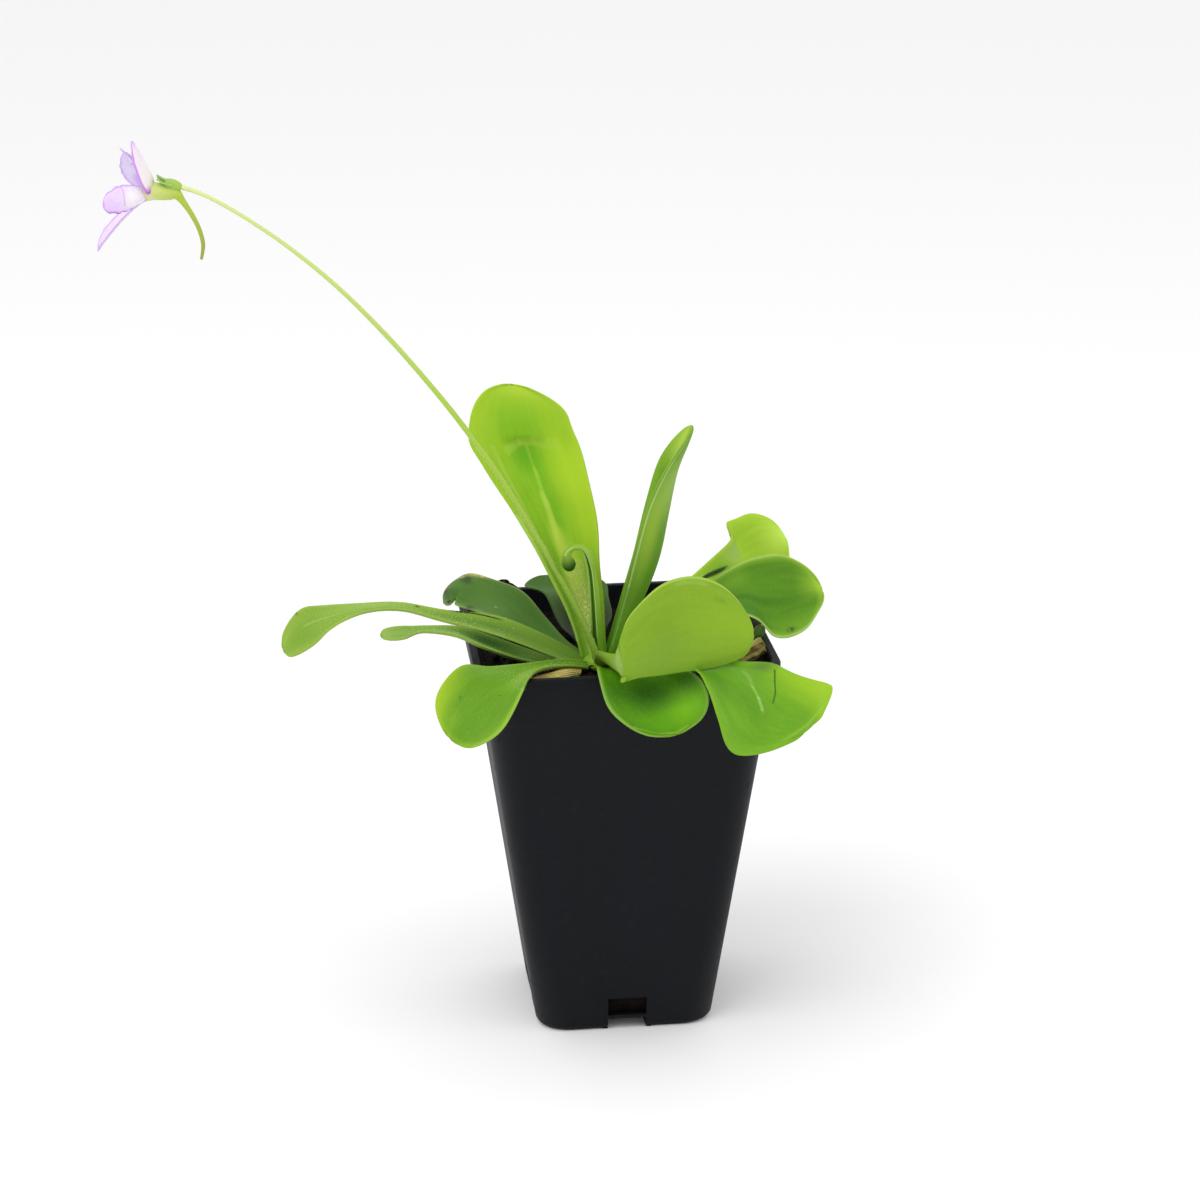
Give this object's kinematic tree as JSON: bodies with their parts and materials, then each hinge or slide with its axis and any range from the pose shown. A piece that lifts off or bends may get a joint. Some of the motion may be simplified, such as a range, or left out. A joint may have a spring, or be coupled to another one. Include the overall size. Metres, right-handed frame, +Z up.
{
  "type": "potted butterwort",
  "caption": "Mexican butterwort with spoon-shaped leaves and one violet flower on a tall arching stalk, in a square tapered nursery pot of peat soil.",
  "frame": {"origin": "centre of the pot's underside, on the surface that the pot stands on", "axes": "+Z up, along the pot's height; the pot's four sides face +X, -X, +Y and -Y; the flower reaches towards -X"},
  "size_m": [0.1812, 0.0955, 0.2304],
  "materials": {
    "plastic": "satin black moulded plastic",
    "peat": "rough damp peat",
    "crown": "matte",
    "leaf": "satin, fleshy, slightly sticky",
    "old_leaf": "satin",
    "dry_leaf": "dry matte",
    "stalk": "satin",
    "flower_tube": "soft matte",
    "petal": "soft matte, thin",
    "calyx": "satin"
  },
  "bodies": {
    "root": {"pot": "plastic", "soil": "peat", "crown": "crown", "leaf_tall": "leaf", "leaf_furled": "leaf", "leaf_narrow": "leaf", "leaf_left_long": "leaf", "leaf_left_small": "leaf", "leaf_left_broad": "old_leaf", "leaf_back": "old_leaf", "leaf_front_left": "leaf", "leaf_right_round": "leaf", "leaf_front": "leaf", "leaf_right_front": "leaf", "leaf_right_middle": "leaf", "leaf_right_back": "leaf", "dry_leaf_rolled": "dry_leaf", "dry_leaf_strip": "dry_leaf", "dry_leaf_scrap": "dry_leaf", "flower_stalk": "stalk", "flower_tube": "flower_tube", "flower_petals": "petal", "flower_calyx": "calyx"}
  },
  "joints": []
}
